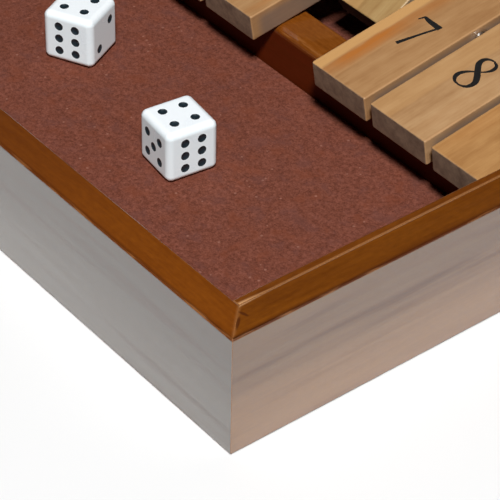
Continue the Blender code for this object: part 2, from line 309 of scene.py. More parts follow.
# Where the tone of the upright faces changes from low to high: how softly it does so on
# either side of the middle, and how far that line wanders in all
HEIGHT_BLUR = 9 * MM
HEIGHT_WANDER = 14 * MM
# The varnish: its weight on the tops, how much less of it there is high up on upright faces
# and in their streaks, and the share of such a face that the streaks take up
TOP_VARNISH = 0.5
HIGH_LESS = 0.16
STREAK_VARNISH = 0.28
STREAK_MEAN = 0.33
VARNISH_IOR = 1.91
VARNISH_ROUGHNESS = 0.08
# What the wood itself mirrors, under varnish and without it
VARNISHED_IOR, BARE_IOR = 1.6, 1.15
# The middle of the gap between a liner and the wall behind it
SEAM_PLACE = (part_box("right_liner")[1].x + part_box("right_wall")[0].x) / 2

# How a piece of the tray is cut and stained: how it is turned so that its grain runs along X,
# where its grain is cut from, the stain's tone on its top and on its upright faces, high and
# low, where the upright faces' tones are painted shade and light, how much darker a line is
# left along its outer top edge, how strong a pale painted highlight is on its top beside the
# seam between wall and liner, and how thick the varnish lies on its upright faces
Board = namedtuple("Board", "turn heart top_tone high_tone low_tone rim_share rub_share varnish_share")


def away_from_middle(tree, axis):
    """How far a point is from the tray's middle, along X or Y."""
    return maths(tree, "ABSOLUTE", parts_of(tree, object_place(tree))[axis])


def along_outer_rim(tree, cad_node):
    """1 in a narrow line on the top of an outer wall, beside its outer edge."""
    low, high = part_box(cad_node)
    axis = 0 if high.x - low.x < high.y - low.y else 1
    outer = max(abs(low[axis]), abs(high[axis]))
    return step_between(tree, away_from_middle(tree, axis), outer - 1.6 * MM, outer - 0.3 * MM)


def along_seam(tree):
    """A mask on both sides of the seams beside the liners, widest and strongest at the corners, for a
    painted highlight.
    """
    near_corner = step_between(tree, away_from_middle(tree, 1), 61 * MM, 74 * MM)
    off = maths(tree, "ABSOLUTE", maths(tree, "SUBTRACT", away_from_middle(tree, 0), SEAM_PLACE))
    reach = times_plus(tree, near_corner, 0.6 * MM, 0.7 * MM)
    band = step_between(tree, maths(tree, "DIVIDE", off, reach), 1.0, 0.1)
    return times(tree, band, times_plus(tree, near_corner, 0.68, 0.32))


def along_mitres(tree):
    """1 in a narrow band along the mitres between the outer walls."""
    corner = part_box("right_wall")[1]
    both = maths(tree, "SUBTRACT", away_from_middle(tree, 0), away_from_middle(tree, 1))
    off = maths(tree, "ABSOLUTE", maths(tree, "SUBTRACT", both, corner.x - corner.y))
    return step_between(tree, off, 1.1 * MM, 0.2 * MM)


def leftward(tree, cad_node):
    """0 near the right end of a wall, growing to 1 at the tray's middle."""
    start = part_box(cad_node)[1].x - LEFT_DARKER_FROM
    return step_between(tree, parts_of(tree, object_place(tree))[0], start, 0.0)


def brushed_mark(tree, centre, along, width):
    """1 on a short soft mark on a top face. along is the half length and its direction."""
    flat = stretched(tree, object_place(tree), (1.0, 1.0, 0.0))
    from_centre = vector_maths(tree, "SUBTRACT", flat, (*centre, 0.0))
    length = math.hypot(*along)
    lengthwise = (along[0] / length, along[1] / length, 0.0)
    sideways = (-lengthwise[1], lengthwise[0], 0.0)
    shares = []
    for direction, reach in ((lengthwise, length), (sideways, width)):
        offset = vector_maths(tree, "DOT_PRODUCT", from_centre, direction, result="Value")
        share = maths(tree, "DIVIDE", offset, reach)
        shares.append(times(tree, share, share))
    return step_between(tree, maths(tree, "ADD", *shares), 1.0, 0.2)


# Two saw marks beside the mitre at the near right corner: middle, half length and its
# direction, and half width
CORNER_MARKS = (
    ((120.7 * MM, -77.1 * MM), (2.1 * MM, -2.2 * MM), 0.55 * MM),
    ((118.9 * MM, -73.9 * MM), (1.7 * MM, 0.55 * MM), 0.60 * MM),
)


def marks_on_top(tree, cad_node, board):
    """The marks on a board's top face: the mask, the strength and the colour of each."""
    marks = []
    if cad_node == "front_wall":
        marks.append((leftward(tree, cad_node), LEFT_DARKER, STAIN_DEEP))
    if cad_node.endswith("_wall"):
        marks.append((along_mitres(tree), MITRE_RUB, RUBBED_STAIN_AND_HIGHLIGHT))
    if board.rim_share > 0:
        marks.append((along_outer_rim(tree, cad_node), board.rim_share, STAIN_DEEP))
    # Beside the seam, a pale painted highlight
    if board.rub_share > 0:
        marks.append((along_seam(tree), board.rub_share, SEAM_HIGHLIGHT_PALE))
    if cad_node == "right_wall":
        for mark in CORNER_MARKS:
            marks.append((brushed_mark(tree, *mark), SAW_MARK_STAIN, STAIN_DEEP))
    return marks


def stain_colour(tree, place, grain, side):
    """The stain's own colour, in which the grain shows less on the upright faces."""
    mottle = grain_noise(tree, place, along=500.0, across=1100.0, detail=3.0, roughness=0.6)
    tone = weighted_sum(tree, (grain["Patches"], 0.40), (grain["Fibres"], 0.28), (mottle, 0.32))
    calmer = times_plus(tree, maths(tree, "SUBTRACT", tone, 0.5), 0.4, 0.5)
    tone = node(tree, "ShaderNodeMix", {0: side, 2: tone, 3: calmer}, data_type="FLOAT").outputs[0]
    colour = colour_ramp(tree, tone, ((0.36, STAIN_DARK), (0.50, STAIN_MIDDLE), (0.64, STAIN_LIGHT)))
    pores = times(tree, grain["Pores"], times_plus(tree, side, -0.25, 0.35))
    return blend_colours(tree, pores, colour, STAIN_DARK)


def high_up(tree, cad_node, place):
    """0 low on a board and 1 high on it, with a soft and wandering line between."""
    low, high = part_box(cad_node)
    middle = (low.z + high.z) / 2
    height = parts_of(tree, object_place(tree))[2]
    drift = grain_noise(tree, place, along=14.0, across=45.0, detail=1.0)
    level = times_plus(tree, drift, HEIGHT_WANDER, height)
    level = maths(tree, "SUBTRACT", level, HEIGHT_WANDER / 2)
    return step_between(tree, level, middle - HEIGHT_BLUR, middle + HEIGHT_BLUR)


def stain_streaks(tree, place):
    """Long streaks along the grain, which come and go in broad stretches."""
    fine = grain_noise(tree, place, along=14.0, across=380.0, detail=3.0)
    broad = grain_noise(tree, place, along=9.0, across=120.0)
    strength = times_plus(tree, step_between(tree, broad, 0.42, 0.64), 0.7, 0.3)
    return times(tree, step_between(tree, fine, 0.40, 0.66), strength)


def stained_wood(cad_node, board):
    """Brown-stained wood under clear gloss varnish."""
    material, tree, shader = new_material(f"stained_{cad_node}")
    place, facing = board_axes(tree, board.turn, (0, 0, 0), board.heart)
    grain = use_group(tree, WOOD_GRAIN, {"Vector": place, "Ring Width": 2.6 * MM, "Wander": 5 * MM})
    side = step_between(tree, maths(tree, "ABSOLUTE", parts_of(tree, facing)[2]), 0.6, 0.2)
    top = maths(tree, "SUBTRACT", 1.0, side)
    upper = high_up(tree, cad_node, place)
    streaks = stain_streaks(tree, place)
    # The upright faces take their own tones of the stain, set face by face to how each face is lit,
    # which is painted shade and light. They are paler low down, and streaked
    painted_side_lighting = blend_colours(tree, upper, board.low_tone, board.high_tone)
    tone_here = blend_colours(tree, side, board.top_tone, painted_side_lighting)
    colour = blend_colours(tree, 1.0, stain_colour(tree, place, grain, side), tone_here, "MULTIPLY")
    dark_streaks = times(tree, streaks, side, STREAK_STAIN, times_plus(tree, upper, 0.6, 0.4))
    colour = blend_colours(tree, dark_streaks, colour, STAIN_DEEP)
    for mask, strength, tint in marks_on_top(tree, cad_node, board):
        colour = blend_colours(tree, times(tree, mask, top, strength), colour, tint)
    # Rounded edges are paler where the noise says they are rubbed: rubbed stain and a painted highlight
    edge = use_group(tree, ROUNDED_EDGE, {"Normal": facing})[0]
    rubbed = step_between(tree, grain_noise(tree, place, along=120.0, across=900.0), 0.45, 0.65)
    colour = blend_colours(tree, times(tree, edge, rubbed, EDGE_RUB_AND_HIGHLIGHT), colour, RUBBED_STAIN_AND_HIGHLIGHT)
    dust = use_group(tree, SPECKS, {"Vector": place, "Per Metre": 75.0, "Size": 0.014, "Share": 0.35})
    colour = blend_colours(tree, dust[0], colour, DUST)
    # The varnish lies thinner high up and in the streaks, and thinner still on the tops
    share = board.varnish_share
    varnish = times_plus(tree, upper, -HIGH_LESS * share, (1.0 + STREAK_MEAN * STREAK_VARNISH) * share)
    varnish = times_plus(tree, streaks, -STREAK_VARNISH * share, varnish)
    finish = {
        "Base Color": colour,
        "Roughness": times_plus(tree, grain["Fibres"], 0.06, 0.285),
        "IOR": VARNISHED_IOR if share > 0 else BARE_IOR,
        "Coat Weight": times_plus(tree, varnish, side, times(tree, top, TOP_VARNISH)),
        "Coat IOR": VARNISH_IOR,
        "Coat Roughness": VARNISH_ROUGHNESS,
    }
    feed(tree, shader, finish)
    relief = times_plus(tree, grain["Pores"], -0.4, grain["Fibres"])
    add_bump(tree, shader, relief, 0.02, 0.03 * MM)
    return material


TILE_DARK = (0.330, 0.162, 0.062)
TILE_MIDDLE = (0.400, 0.212, 0.088)
TILE_LIGHT = (0.460, 0.262, 0.118)
# A painted highlight on the tiles' rounded edges
TILE_RIM_HIGHLIGHT = (0.480, 0.285, 0.140)
SAPWOOD = (0.580, 0.315, 0.117)
HEART_STREAK = (0.440, 0.150, 0.028)
# Painted shade on the tiles' long sides
SIDE_PAINTED_SHADE = (0.165, 0.124, 0.104)
# The tail end of a tile, painted nearly black as painted shade
TAIL_END_PAINTED_SHADE = (0.007, 0.004, 0.003)
END_GRAIN_DARK = (0.139, 0.088, 0.057)
END_GRAIN_LIGHT = (0.252, 0.171, 0.113)
# How strongly the pores of a playable tile show, and the painted highlight on its rounded edges
TILE_PORES = 0.16
TILE_EDGE_HIGHLIGHT_SHARE = 0.35
# How much of its axis an end face's normal has to show, at the least and in full
END_FACING = (0.80, 0.97)
# How far the figure's lines drift and fray, in all, and how softly the pale band ends
FIGURE_DRIFT = 2.4 * MM
FIGURE_FRAY = 1.6 * MM
PALE_BLUR = 0.7 * MM
# The satin varnish, which is worn off the edges
TILE_COAT = 0.25
TILE_COAT_ROUGHNESS = 0.30

# The figure of one tile. Places are in millimetres to the right of its middle line.
# pale_end is where a paler band at its left edge ends, pale_share that band's strength, and
# streak_place, streak_width and streak_share the orange heartwood beside it. tint is what the
# colour of its plain wood is multiplied by
Figure = namedtuple("Figure", "pale_end pale_share streak_place streak_width streak_share tint")
TILE_FIGURES = {
    1: Figure(-14.0, 0.0, 3.5, 2.6, 0.35, (1.00, 0.98, 0.95)),
    2: Figure(-9.5, 0.5, -2.0, 1.8, 0.30, (1.05, 1.08, 1.15)),
    3: Figure(-14.0, 0.0, 6.0, 3.0, 0.45, (1.00, 0.97, 0.90)),
    4: Figure(-4.0, 0.4, -6.5, 2.2, 0.15, (1.05, 1.10, 1.20)),
    5: Figure(-13.0, 0.0, 8.0, 2.0, 0.30, (0.98, 0.98, 0.98)),
    6: Figure(-1.0, 0.3, 7.0, 4.0, 0.0, (0.98, 1.14, 1.08)),
    7: Figure(-7.0, 1.0, -6.4, 3.4, 1.0, (1.00, 1.00, 1.00)),
    8: Figure(-3.0, 0.30, 5.0, 5.0, 0.06, (1.11, 1.19, 1.31)),
    9: Figure(-14.0, 0.0, -10.5, 5.5, 0.20, (1.12, 1.09, 0.94)),
}


def tile_tilt(number):
    return SHUT_TILT if number == SHUT_TILE else PLAYABLE_TILT


def tile_figure(tree, colour, place, shifted, fibres, figure):
    """Lays one tile's pale band and orange streak over its colour."""
    parts = parts_of(tree, place)
    outward = times(tree, parts[0], -1.0)
    right = times(tree, parts[1], -1.0)
    drift = grain_noise(tree, shifted, along=30.0, across=0.0, detail=1.0)
    ragged = grain_noise(tree, shifted, along=90.0, across=700.0)
    line = times_plus(tree, drift, FIGURE_DRIFT, right)
    line = times_plus(tree, ragged, FIGURE_FRAY, line)
    line = maths(tree, "SUBTRACT", line, (FIGURE_DRIFT + FIGURE_FRAY) / 2)
    pale_end = figure.pale_end * MM
    pale = step_between(tree, line, pale_end + PALE_BLUR, pale_end - PALE_BLUR)
    colour = blend_colours(tree, times(tree, pale, figure.pale_share), colour, SAPWOOD)
    # The streak starts sharply at its left and fades out to its right. It is strongest a
    # third of the way up the tile, and the fibres fleck it
    start = figure.streak_place * MM
    rise = step_between(tree, line, start - 0.9 * MM, start + 0.3 * MM)
    fall = step_between(tree, line, start + figure.streak_width * 1.6 * MM, start + 0.9 * MM)
    near_end = times_plus(tree, step_between(tree, outward, 42 * MM, 33 * MM), 0.6, 0.4)
    far_end = times_plus(tree, step_between(tree, outward, 10 * MM, 22 * MM), 0.55, 0.45)
    fleck = times_plus(tree, fibres, 0.7, 0.62)
    streak = times(tree, rise, fall, near_end, far_end, fleck)
    streak = maths(tree, "MULTIPLY", streak, figure.streak_share, clamp=True)
    return blend_colours(tree, streak, colour, HEART_STREAK)


def tile_side_shade(tree, place, facing):
    """Painted shade on the long sides: darker low down, where the next tile shades them, but not near the
    numbered end, which stands clear of it.
    """
    low_down = step_between(tree, place[2], 4.3 * MM, 1.2 * MM)
    inward = step_between(tree, place[0], -TILE_REACH + 1 * MM, -TILE_REACH + 5 * MM)
    long_side = step_between(tree, maths(tree, "ABSOLUTE", facing[1]), 0.85, 0.99)
    return times(tree, long_side, times_plus(tree, times(tree, low_down, inward), 0.62, 0.08))


def end_grain(tree, shifted, tail):
    """The speckled end of a tile. The one at its tail is painted nearly black, as painted shade."""
    speckle = grain_noise(tree, shifted, along=200.0, across=900.0, detail=3.0, roughness=0.6)
    blotch = grain_noise(tree, shifted, along=40.0, across=260.0, detail=1.0)
    tone = weighted_sum(tree, (speckle, 0.5), (blotch, 0.5))
    colour = colour_ramp(tree, tone, ((0.34, END_GRAIN_DARK), (0.62, END_GRAIN_LIGHT)))
    return blend_colours(tree, tail, colour, TAIL_END_PAINTED_SHADE)


def tile_wood(number):
    """Pale satin wood with its own figure, seen in the tile's own axes."""
    material, tree, shader = new_material(f"tile_wood_{number}")
    figure = TILE_FIGURES[number]
    low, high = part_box(f"tile_{number}")
    centre = ((low.x + high.x) / 2, ROD_CENTRE.y, ROD_CENTRE.z)
    turn = (-tile_tilt(number), 0.0, -math.pi / 2)
    place, facing = board_axes(tree, turn, centre, (0, 0, 0))
    # Each tile is cut from its own part of the plank
    cut_from = Vector((0.31 * number, 0.017 * number, 0.030 + 0.004 * (number % 3)))
    shifted = vector_maths(tree, "ADD", place, cut_from)
    grain = use_group(tree, WOOD_GRAIN, {"Vector": shifted, "Ring Width": 4.3 * MM, "Wander": 7 * MM})
    clouds = grain_noise(tree, shifted, along=110.0, across=300.0, detail=3.0, roughness=0.6)
    tone = weighted_sum(
        tree,
        (grain["Patches"], 0.34),
        (clouds, 0.38),
        (grain["Fibres"], 0.24),
        (grain["Rings"], -0.045),
    )
    colour = colour_ramp(tree, tone, ((0.34, TILE_DARK), (0.47, TILE_MIDDLE), (0.62, TILE_LIGHT)))
    colour = blend_colours(tree, 1.0, colour, figure.tint, "MULTIPLY")
    colour = tile_figure(tree, colour, place, shifted, grain["Fibres"], figure)
    colour = blend_colours(tree, times(tree, grain["Pores"], TILE_PORES), colour, TILE_DARK)
    edge = use_group(tree, ROUNDED_EDGE, {"Normal": facing})[0]
    # A painted highlight on the rounded edges, left off the shut tile
    rim_share = 0.0 if number == SHUT_TILE else TILE_EDGE_HIGHLIGHT_SHARE
    colour = blend_colours(tree, times(tree, edge, rim_share), colour, TILE_RIM_HIGHLIGHT)
    facing_parts = parts_of(tree, facing)
    shade = tile_side_shade(tree, parts_of(tree, place), facing_parts)
    colour = blend_colours(tree, shade, colour, SIDE_PAINTED_SHADE)
    end_face = step_between(tree, maths(tree, "ABSOLUTE", facing_parts[0]), *END_FACING)
    tail = step_between(tree, facing_parts[0], *END_FACING)
    bare = maths(tree, "MAXIMUM", edge, tail)
    finish = {
        "Base Color": blend_colours(tree, end_face, colour, end_grain(tree, shifted, tail)),
        "Roughness": times_plus(tree, end_face, 0.25, 0.42),
        "Coat Weight": times_plus(tree, bare, -TILE_COAT, TILE_COAT),
        "Coat Roughness": TILE_COAT_ROUGHNESS,
    }
    feed(tree, shader, finish)
    relief = times_plus(tree, grain["Pores"], -0.5, grain["Fibres"])
    add_bump(tree, shader, relief, 0.15, 0.06 * MM)
    return material


FELT_DARK = (0.104, 0.030, 0.018)
FELT_MIDDLE = (0.162, 0.050, 0.031)
FELT_LIGHT = (0.245, 0.082, 0.055)
FELT_RUSTY = (0.190, 0.050, 0.024)
FELT_DUSKY = (0.140, 0.052, 0.042)
LINT = (0.40, 0.19, 0.14)
FELT_PATCH_SHARE = 0.45
LINT_SHARE = 0.4


def felt_cloth():
    """Pressed reddish-brown felt, mottled by its matted fibres."""
    material, tree, shader = new_material("felt_cloth")
    place = object_place(tree)
    cloudy = noise_value(tree, place, 240.0, 3.0, 0.6)
    matted = noise_value(tree, place, 800.0, 3.0, 0.65)
    hairs = noise_value(tree, place, 2300.0, 2.0, 0.6)
    tone = weighted_sum(tree, (matted, 0.46), (hairs, 0.38), (cloudy, 0.16))
    colour = colour_ramp(tree, tone, ((0.38, FELT_DARK), (0.50, FELT_MIDDLE), (0.64, FELT_LIGHT)))
    hue = noise_value(tree, place, 150.0, 3.0, 0.65)
    for none_at, full_at, tint in ((0.52, 0.68, FELT_RUSTY), (0.48, 0.32, FELT_DUSKY)):
        patch = times(tree, step_between(tree, hue, none_at, full_at), FELT_PATCH_SHARE)
        colour = blend_colours(tree, patch, colour, tint)
    lint = use_group(tree, SPECKS, {"Vector": place, "Per Metre": 420.0, "Size": 0.16, "Share": 0.16})
    finish = {
        "Base Color": blend_colours(tree, times(tree, lint[0], LINT_SHARE), colour, LINT),
        "Roughness": 1.0,
        "Specular IOR Level": 0.05,
        "Sheen Weight": 0.04,
        "Sheen Roughness": 0.6,
        "Sheen Tint": opaque((1.0, 0.55, 0.42)),
    }
    feed(tree, shader, finish)
    add_bump(tree, shader, times_plus(tree, hairs, 0.5, matted), 0.5, 0.25 * MM)
    return material


BOARD_DARK = (0.20, 0.125, 0.070)
BOARD_LIGHT = (0.34, 0.23, 0.14)


def pressed_board():
    """The bare underside of the base panel: pressed wood fibre."""
    material, tree, shader = new_material("pressed_board")
    place = object_place(tree)
    fibres = grain_noise(tree, place, along=260.0, across=900.0, detail=4.0)
    cloudy = noise_value(tree, place, 40.0)
    tone = weighted_sum(tree, (fibres, 0.6), (cloudy, 0.4))
    colour = colour_ramp(tree, tone, ((0.35, BOARD_DARK), (0.65, BOARD_LIGHT)))
    feed(tree, shader, {"Base Color": colour, "Roughness": 0.75})
    add_bump(tree, shader, fibres, 0.3, 0.1 * MM)
    return material


STEEL_DARK = (0.42, 0.42, 0.41)
STEEL_LIGHT = (0.68, 0.68, 0.67)


def drawn_steel():
    """Bright rod and rings, with fine drawing lines along X."""
    material, tree, shader = new_material("drawn_steel")
    lines = grain_noise(tree, object_place(tree), along=120.0, across=9000.0)
    colour = colour_ramp(tree, lines, ((0.35, STEEL_DARK), (0.60, STEEL_LIGHT)))
    roughness = times_plus(tree, lines, 0.2, 0.16)
    feed(tree, shader, {"Base Color": colour, "Roughness": roughness, "Metallic": 1.0})
    return material


# A die's colour where it is clean and where it is handled, and what its upright faces' colour
# is multiplied by: a bluer tint, which is painted light
DIE_WHITE = (0.920, 0.965, 0.995)
DIE_WORN = (0.885, 0.935, 0.975)
DIE_SIDE_LIGHT_TINT = (0.945, 0.995, 1.000)


def dice_resin():
    """White gloss plastic, a little duller where it has been handled, whose upright faces carry a painted
    bluish light.
    """
    material, tree, shader = new_material("dice_resin")
    handled = noise_value(tree, object_place(tree), 210.0, 3.0)
    colour = blend_colours(tree, step_between(tree, handled, 0.5, 0.8), DIE_WHITE, DIE_WORN)
    facing = node(tree, "ShaderNodeTexCoord").outputs["Normal"]
    # Upright faces get a bluer tint, which is painted light
    upright = step_between(tree, maths(tree, "ABSOLUTE", parts_of(tree, facing)[2]), 0.8, 0.3)
    bluer_side_light = blend_colours(tree, 1.0, colour, DIE_SIDE_LIGHT_TINT, "MULTIPLY")
    colour = blend_colours(tree, upright, colour, bluer_side_light)
    feed(tree, shader, {"Base Color": colour, "Roughness": times_plus(tree, handled, 0.2, 0.14)})
    return material


# How much lighter ink and glue are where they lie thin
THIN_INK_LIGHTER = 2.2


def painted_ink(name, colour, roughness):
    """Ink, paint or glue that lies a little unevenly."""
    material, tree, shader = new_material(name)
    thin = step_between(tree, noise_value(tree, object_place(tree), 2400.0, 2.0), 0.5, 0.8)
    lighter = tuple(THIN_INK_LIGHTER * part for part in colour)
    mixed = blend_colours(tree, thin, colour, lighter)
    feed(tree, shader, {"Base Color": mixed, "Roughness": roughness})
    return material


# Pieces

def new_object(name, data):
    """An object in the scene, at the origin."""
    made = bpy.data.objects.new(name, data)
    bpy.context.scene.collection.objects.link(made)
    return made


def mesh_from(name, bm):
    """The built shape as a mesh."""
    mesh = bpy.data.meshes.new(name)
    bm.to_mesh(mesh)
    bm.free()
    return mesh


def merge_doubles(bm, distance=MERGE_DISTANCE):
    bmesh.ops.remove_doubles(bm, verts=bm.verts[:], dist=distance)


def extrude_faces(bm):
    """Extrudes all faces, and gives the new vertices, which still lie on the old ones."""
    raised = bmesh.ops.extrude_face_region(bm, geom=bm.faces[:])
    return [part for part in raised["geom"] if isinstance(part, bmesh.types.BMVert)]


def shade_round_parts(mesh):
    """Smooth shading, with every edge kept sharp that turns by more than SHARP_ANGLE."""
    mesh.shade_smooth()
    mesh.set_sharp_from_angle(angle=SHARP_ANGLE)


def add_piece(name, mesh, material, body, replaced=()):
    """A finished piece that rides on a body. A mesh that has its materials is given None."""
    piece = new_object(name, mesh)
    if material is not None:
        mesh.materials.clear()
        mesh.materials.append(material)
    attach(piece, body)
    if replaced:
        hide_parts(*replaced)
    return piece


def even_normals(piece):
    """Keeps flat faces flat beside smoothly shaded round edges."""
    weighted = piece.modifiers.new("flat_faces_stay_flat", "WEIGHTED_NORMAL")
    weighted.keep_sharp = True


def dressed(cad_node, name, material, body):
    """A copy of a solid whose triangles are merged, so that its round edges shade smoothly."""
    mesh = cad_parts[cad_node].data.copy()
    bm = bmesh.new()
    bm.from_mesh(mesh)
    merge_doubles(bm)
    bm.to_mesh(mesh)
    bm.free()
    mesh.name = name
    shade_round_parts(mesh)
    piece = add_piece(name, mesh, material, body, (cad_node,))
    even_normals(piece)
    return piece


LENGTHWISE_X = (0.0, 0.0, 0.0)
LENGTHWISE_Y = (0.0, 0.0, -math.pi / 2)
# The tones that the upright faces' stain is multiplied by, high and low, are painted shade and light, set
# face by face; RAIL_SIDE darkens the rail's front as painted shade
GREYED_HIGH, GREYED_LOW = (0.20, 0.36, 0.8), (0.23, 0.45, 0.8)
BROWN_HIGH, BROWN_LOW = (0.58, 0.86, 1.3), (0.93, 1.36, 1.6)
REST_HIGH, REST_LOW = (0.60, 0.70, 0.9), (0.70, 0.80, 1.0)
RAIL_SIDE = (0.45, 0.25, 0.63)
FRONT_TOP, RIGHT_TOP, REST_TOP = (0.89, 0.82, 0.35), (0.84, 0.85, 0.40), (0.86, 0.86, 0.70)
RAIL_TOP = (0.93, 0.98, 1.30)
TRAY_BOARDS = {
    "front_wall": Board(
        LENGTHWISE_X, (0.10, 0.035, 0.02), FRONT_TOP, GREYED_HIGH, GREYED_LOW, 0.5, 0.0, 1.0
    ),
    "back_wall": Board(LENGTHWISE_X, (0.70, 0.060, 0.03), REST_TOP, REST_HIGH, REST_LOW, 0.5, 0.0, 1.0),
    "left_wall": Board(LENGTHWISE_Y, (1.30, 0.050, 0.04), REST_TOP, REST_HIGH, REST_LOW, 0.6, 0.5, 1.0),
    "right_wall": Board(
        LENGTHWISE_Y, (1.90, 0.045, 0.02), RIGHT_TOP, BROWN_HIGH, BROWN_LOW, 0.9, 0.8, 1.0
    ),
    "left_liner": Board(LENGTHWISE_Y, (3.10, 0.050, 0.03), REST_TOP, REST_HIGH, REST_LOW, 0.0, 0.5, 0.4),
    "right_liner": Board(LENGTHWISE_Y, (3.70, 0.050, 0.03), REST_TOP, REST_HIGH, REST_LOW, 0.0, 0.8, 0.4),
    "tile_rail": Board(LENGTHWISE_X, (2.50, 0.040, 0.03), RAIL_TOP, RAIL_SIDE, RAIL_SIDE, 0.0, 0.0, 0.0),
}


def make_tray():
    for cad_node, board in TRAY_BOARDS.items():
        wood = stained_wood(cad_node, board)
        dressed(cad_node, f"varnished_{cad_node}", wood, "tray")
    dressed("base_panel", "bare_base_panel", pressed_board(), "tray")
    make_glue()


# Glue fills the mitres and the seams around the liners, and laps onto the rounded edges there
MITRE_GAP = 0.1 * MM
MITRE_ACROSS = math.sqrt(0.5)
MITRE_TOLERANCE = 0.02
LEAST_MITRE_AREA = 1 * MM * MM
SEAM_SUNK = 0.03 * MM
SEAM_DEPTH = 1.2 * MM
SEAM_LAP = 0.35 * MM
GLUE_BROWN = (0.260, 0.105, 0.0300)
GLUE_ROUGHNESS = 0.6


def mitre_fillers(bm):
    """A thin slab on each mitred end of the side walls, as thick as the gap there."""
    for cad_node in ("left_wall", "right_wall"):
        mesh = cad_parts[cad_node].data.copy()
        ends = bmesh.new()
        ends.from_mesh(mesh)
        merge_doubles(ends)
        others = [
            face
            for face in ends.faces
            if abs(abs(face.normal.x) - MITRE_ACROSS) > MITRE_TOLERANCE
            or abs(abs(face.normal.y) - MITRE_ACROSS) > MITRE_TOLERANCE
            or face.calc_area() < LEAST_MITRE_AREA
        ]
        bmesh.ops.delete(ends, geom=others, context="FACES")
        for vert in extrude_faces(ends):
            outward = Vector((-math.copysign(1, vert.co.x), math.copysign(1, vert.co.y), 0))
            vert.co += outward.normalized() * MITRE_GAP
        bmesh.ops.recalc_face_normals(ends, faces=ends.faces[:])
        ends.to_mesh(mesh)
        ends.free()
        bm.from_mesh(mesh)
        bpy.data.meshes.remove(mesh)


def seam_fillers(bm, side):
    """Thin strips along the top of the seams around one liner: behind it and at its ends."""
    low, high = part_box(f"{side}_liner")
    wall_low, wall_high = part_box(f"{side}_wall")
    front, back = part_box("front_wall")[1].y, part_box("back_wall")[0].y
    if low.x > 0:
        behind = (high.x - SEAM_LAP, wall_low.x + SEAM_LAP, low.y, high.y)
    else:
        behind = (wall_high.x - SEAM_LAP, low.x + SEAM_LAP, low.y, high.y)
    near = (low.x + SEAM_LAP, high.x, front - SEAM_LAP, low.y + SEAM_LAP)
    far = (low.x + SEAM_LAP, high.x, high.y - SEAM_LAP, back + SEAM_LAP)
    for left, right, near_end, far_end in (behind, near, far):
        least = Vector((left, near_end, high.z - SEAM_SUNK - SEAM_DEPTH))
        most = Vector((right, far_end, high.z - SEAM_SUNK))
        size = Matrix.Diagonal((*(most - least), 1))
        bmesh.ops.create_cube(bm, size=1, matrix=Matrix.Translation((least + most) / 2) @ size)


def make_glue():
    bm = bmesh.new()
    mitre_fillers(bm)
    for side in ("left", "right"):
        seam_fillers(bm, side)
    name = "stained_glue_in_the_seams"
    glue = painted_ink("stained_glue", GLUE_BROWN, GLUE_ROUGHNESS)
    add_piece(name, mesh_from(name, bm), glue, "tray")


def felt_mesh(name, low, high):
    """A thin slab whose top swells and dips a little, as pressed felt does."""
    width, depth = high.x - low.x, high.y - low.y
    columns, rows = round(width / FELT_GRID), round(depth / FELT_GRID)
    bm = bmesh.new()
    middle = Matrix.Translation(((low.x + high.x) / 2, (low.y + high.y) / 2, low.z))
    size = Matrix.Diagonal((width / 2, depth / 2, 1, 1))
    bmesh.ops.create_grid(bm, x_segments=columns, y_segments=rows, size=1, matrix=middle @ size)
    for vert in extrude_faces(bm):
        swell = noise.noise(vert.co / FELT_WAVE_LENGTH)
        vert.co.z = high.z - FELT_WAVE + FELT_WAVE * swell
    bmesh.ops.recalc_face_normals(bm, faces=bm.faces[:])
    mesh = mesh_from(name, bm)
    shade_round_parts(mesh)
    return mesh


def make_felts():
    cloth = felt_cloth()
    for cad_node, name in (("play_felt", "felt_of_the_play_area"), ("rear_felt", "felt_behind_the_rail")):
        low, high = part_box(cad_node)
        mesh = felt_mesh(name, low, high)
        sheet = add_piece(name, mesh, cloth, "tray", (cad_node,))


def make_steel():
    steel = drawn_steel()
    dressed("tile_rod", "drawn_tile_rod", steel, "tray")
    for number in range(1, len(TILE_NUMBERS)):
        dressed(f"tile_spacer_{number}", f"turned_spacer_{number}", steel, "tray")
    for side in ("left", "right"):
        dressed(f"{side}_end_spacer", f"turned_{side}_end_spacer", steel, "tray")


